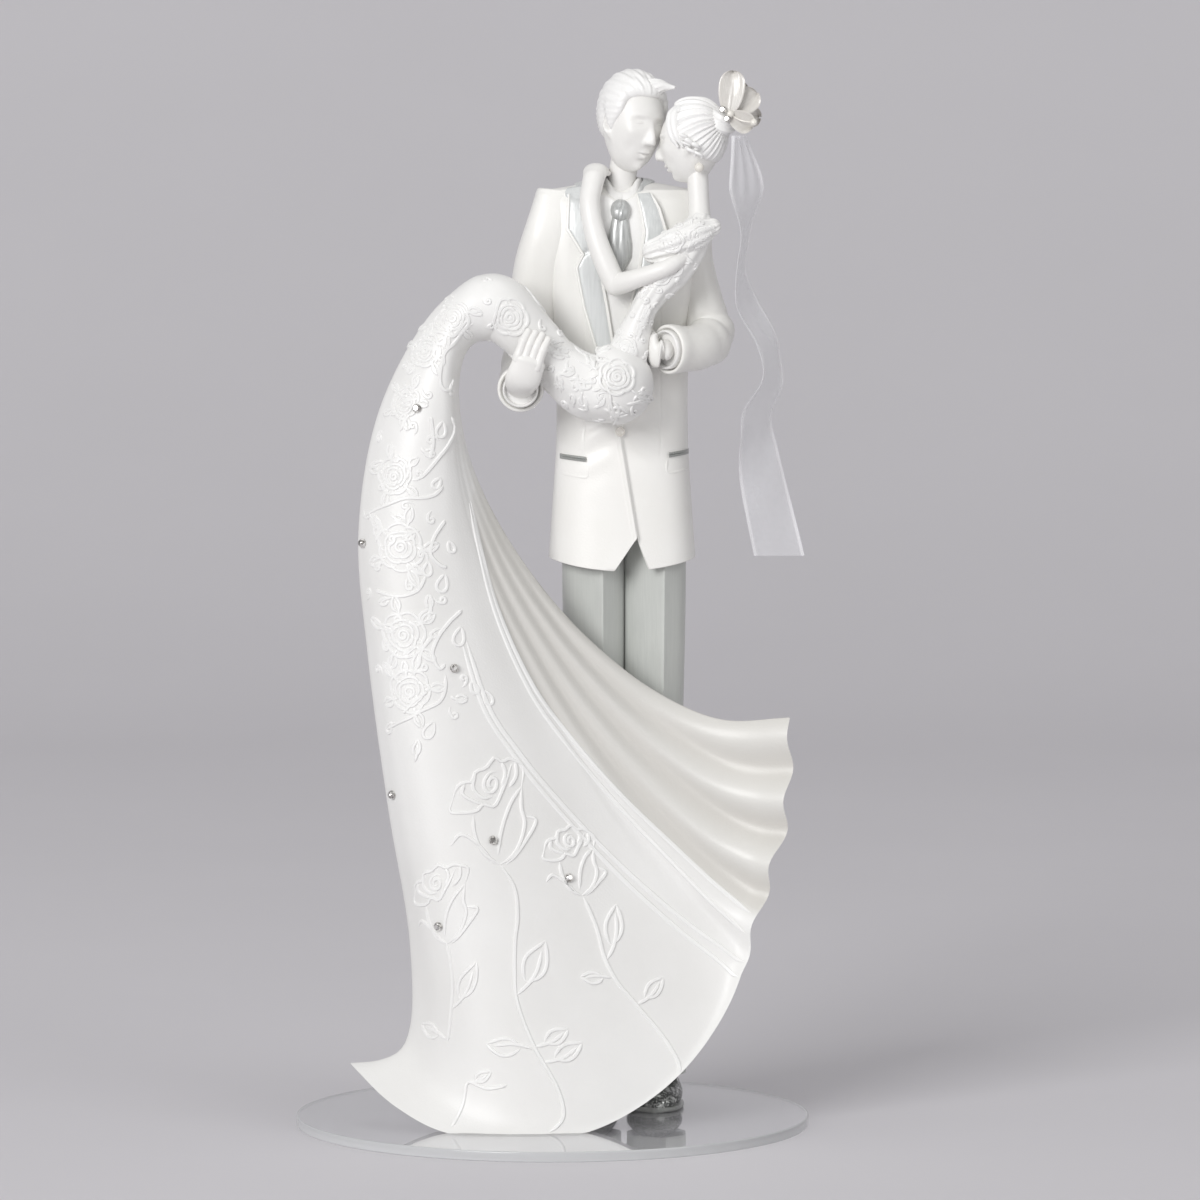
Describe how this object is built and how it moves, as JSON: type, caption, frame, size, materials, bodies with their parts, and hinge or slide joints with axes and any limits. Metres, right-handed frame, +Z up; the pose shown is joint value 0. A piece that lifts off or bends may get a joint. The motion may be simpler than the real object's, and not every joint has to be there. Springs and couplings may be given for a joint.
{
  "type": "wedding cake topper",
  "caption": "Cast figurine of a groom carrying a bride whose gown sweeps down to a clear round base plate, with a sheer ribbon hanging from her hair, made to stand on a cake.",
  "frame": {"origin": "centre of the base plate's underside", "axes": "+Z up, the couple face -Y, +X is to the viewer's right when they are seen from the front"},
  "size_m": [0.1016, 0.1016, 0.2087],
  "materials": {
    "clear_acrylic": "polished and clear",
    "steel_pin": "plain drawn wire",
    "white_resin": "satin, with raised lace",
    "ivory_resin": "satin",
    "skin_resin": "soft matt",
    "silver_paint": "pearl silver paint",
    "grey_paint": "satin paint",
    "glitter_paint": "fine glitter",
    "pearl": "pearl gloss",
    "petal_resin": "pearl satin",
    "crystal": "cut and foiled",
    "organza": "sheer"
  },
  "bodies": {
    "figure": {"base_plate": "clear_acrylic", "groom_neck_pin": "steel_pin", "bride_neck_pin": "steel_pin", "knee_pin": "steel_pin", "shoe_left": "glitter_paint", "shoe_right": "glitter_paint", "trousers": "grey_paint", "jacket": "ivory_resin", "sleeve_left": "ivory_resin", "sleeve_right": "ivory_resin", "cuff_left": "white_resin", "cuff_right": "white_resin", "lapel_left": "silver_paint", "lapel_right": "silver_paint", "shirt_front": "white_resin", "shirt_collar": "white_resin", "tie": "silver_paint", "pocket_welt_left": "grey_paint", "pocket_welt_right": "grey_paint", "jacket_button": "pearl", "groom_head": "skin_resin", "groom_hair": "white_resin", "groom_hand_left": "skin_resin", "groom_hand_right": "skin_resin", "gown_skirt": "white_resin", "gown_lap": "white_resin", "gown_bodice": "white_resin", "gown_shoulder_band": "white_resin", "gown_crystal_1": "crystal", "gown_crystal_2": "crystal", "gown_crystal_3": "crystal", "gown_crystal_4": "crystal", "gown_crystal_5": "crystal", "gown_crystal_6": "crystal", "gown_crystal_7": "crystal", "bride_head": "skin_resin", "bride_hair": "white_resin", "bride_arm_left": "skin_resin", "bride_hand_left": "skin_resin", "earring": "pearl", "flower_petal_1": "petal_resin", "flower_petal_2": "petal_resin", "flower_petal_3": "petal_resin", "flower_petal_4": "petal_resin", "flower_petal_5": "petal_resin", "flower_crystal_1": "crystal", "flower_crystal_2": "crystal", "flower_pearl": "pearl"},
    "ribbon_veil": {"ribbon": "organza"}
  },
  "joints": [
    {"name": "ribbon_swing", "type": "hinge", "parent": "figure", "child": "ribbon_veil", "pos_m": [0.0367, 0.0028, 0.1954], "axis": [1, 0, 0], "range_deg": [-20, 25]}
  ]
}
